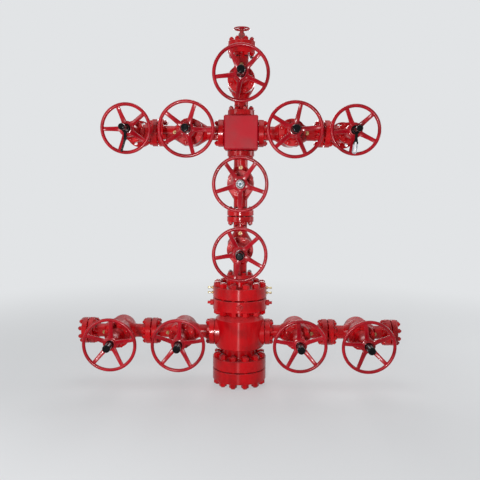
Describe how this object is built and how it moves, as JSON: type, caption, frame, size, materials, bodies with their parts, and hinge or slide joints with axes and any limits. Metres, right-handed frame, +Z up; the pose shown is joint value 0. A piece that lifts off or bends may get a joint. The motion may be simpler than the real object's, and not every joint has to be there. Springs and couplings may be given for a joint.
{
  "type": "oil wellhead valve stack",
  "caption": "Flanged wellhead tree on a tubing spool, with gate valves, a cross, wings ending in chokes, casing runs, and a handwheel turning on every stem.",
  "frame": {"origin": "centre of the base flange's lower face, on the well's axis", "axes": "+Z up along the bore, +X to the right along the wings, every stem points to -Y"},
  "size_m": [2.8624, 0.9779, 3.098],
  "materials": {
    "red_paint": "gloss",
    "brass": "satin",
    "black_cap": "gloss",
    "clear_cap": "polished",
    "bright_steel": "bright"
  },
  "bodies": {
    "root": {"base_flange": "red_paint", "base_studs": "red_paint", "tubing_spool": "red_paint", "lockdown_screws": "red_paint", "adapter": "red_paint", "adapter_studs": "red_paint", "cross_block": "red_paint", "tree_cap": "red_paint", "end_flanges": "red_paint", "test_fittings": "brass", "grease_fittings": "brass", "end_studs": "red_paint", "stem_caps": "black_cap", "clear_cap": "clear_cap", "choke_levers": "bright_steel", "needle_valve": "red_paint", "lower_master_body": "red_paint", "lower_master_bonnet": "red_paint", "upper_master_body": "red_paint", "upper_master_bonnet": "red_paint", "swab_body": "red_paint", "swab_bonnet": "red_paint", "left_wing_body": "red_paint", "left_wing_bonnet": "red_paint", "right_wing_body": "red_paint", "right_wing_bonnet": "red_paint", "left_inner_casing_body": "red_paint", "left_inner_casing_bonnet": "red_paint", "left_outer_casing_body": "red_paint", "left_outer_casing_bonnet": "red_paint", "right_inner_casing_body": "red_paint", "right_inner_casing_bonnet": "red_paint", "right_outer_casing_body": "red_paint", "right_outer_casing_bonnet": "red_paint", "left_choke_body": "red_paint", "left_choke_bonnet": "red_paint", "right_choke_body": "red_paint", "right_choke_bonnet": "red_paint"},
    "lower_master_wheel": {"lower_master_wheel": "red_paint"},
    "upper_master_wheel": {"upper_master_wheel": "red_paint"},
    "swab_wheel": {"swab_wheel": "red_paint"},
    "left_wing_wheel": {"left_wing_wheel": "red_paint"},
    "right_wing_wheel": {"right_wing_wheel": "red_paint"},
    "left_inner_casing_wheel": {"left_inner_casing_wheel": "red_paint"},
    "left_outer_casing_wheel": {"left_outer_casing_wheel": "red_paint"},
    "right_inner_casing_wheel": {"right_inner_casing_wheel": "red_paint"},
    "right_outer_casing_wheel": {"right_outer_casing_wheel": "red_paint"},
    "left_choke_wheel": {"left_choke_wheel": "red_paint"},
    "right_choke_wheel": {"right_choke_wheel": "red_paint"},
    "needle_wheel": {"needle_wheel": "red_paint"}
  },
  "joints": [
    {"name": "lower_master_turn", "type": "hinge", "parent": "root", "child": "lower_master_wheel", "pos_m": [0, -0.46, 1.1819], "axis": [0, -1, 0], "continuous": true},
    {"name": "upper_master_turn", "type": "hinge", "parent": "root", "child": "upper_master_wheel", "pos_m": [0, -0.46, 1.7469], "axis": [0, -1, 0], "continuous": true},
    {"name": "swab_turn", "type": "hinge", "parent": "root", "child": "swab_wheel", "pos_m": [0, -0.46, 2.6019], "axis": [0, -1, 0], "continuous": true},
    {"name": "left_wing_turn", "type": "hinge", "parent": "root", "child": "left_wing_wheel", "pos_m": [-0.4275, -0.46, 2.1744], "axis": [0, -1, 0], "continuous": true},
    {"name": "right_wing_turn", "type": "hinge", "parent": "root", "child": "right_wing_wheel", "pos_m": [0.4275, -0.46, 2.1744], "axis": [0, -1, 0], "continuous": true},
    {"name": "left_inner_casing_turn", "type": "hinge", "parent": "root", "child": "left_inner_casing_wheel", "pos_m": [-0.5025, -0.46, 0.4257], "axis": [0, -1, 0], "continuous": true},
    {"name": "left_outer_casing_turn", "type": "hinge", "parent": "root", "child": "left_outer_casing_wheel", "pos_m": [-1.0675, -0.46, 0.4257], "axis": [0, -1, 0], "continuous": true},
    {"name": "right_inner_casing_turn", "type": "hinge", "parent": "root", "child": "right_inner_casing_wheel", "pos_m": [0.5025, -0.46, 0.4257], "axis": [0, -1, 0], "continuous": true},
    {"name": "right_outer_casing_turn", "type": "hinge", "parent": "root", "child": "right_outer_casing_wheel", "pos_m": [1.0675, -0.46, 0.4257], "axis": [0, -1, 0], "continuous": true},
    {"name": "left_choke_turn", "type": "hinge", "parent": "root", "child": "left_choke_wheel", "pos_m": [-0.9, -0.46, 2.1744], "axis": [0, -1, 0], "continuous": true},
    {"name": "right_choke_turn", "type": "hinge", "parent": "root", "child": "right_choke_wheel", "pos_m": [0.9, -0.46, 2.1744], "axis": [0, -1, 0], "continuous": true},
    {"name": "needle_turn", "type": "hinge", "parent": "root", "child": "needle_wheel", "pos_m": [0, 0, 3.04], "axis": [0, 0, 1], "continuous": true}
  ]
}
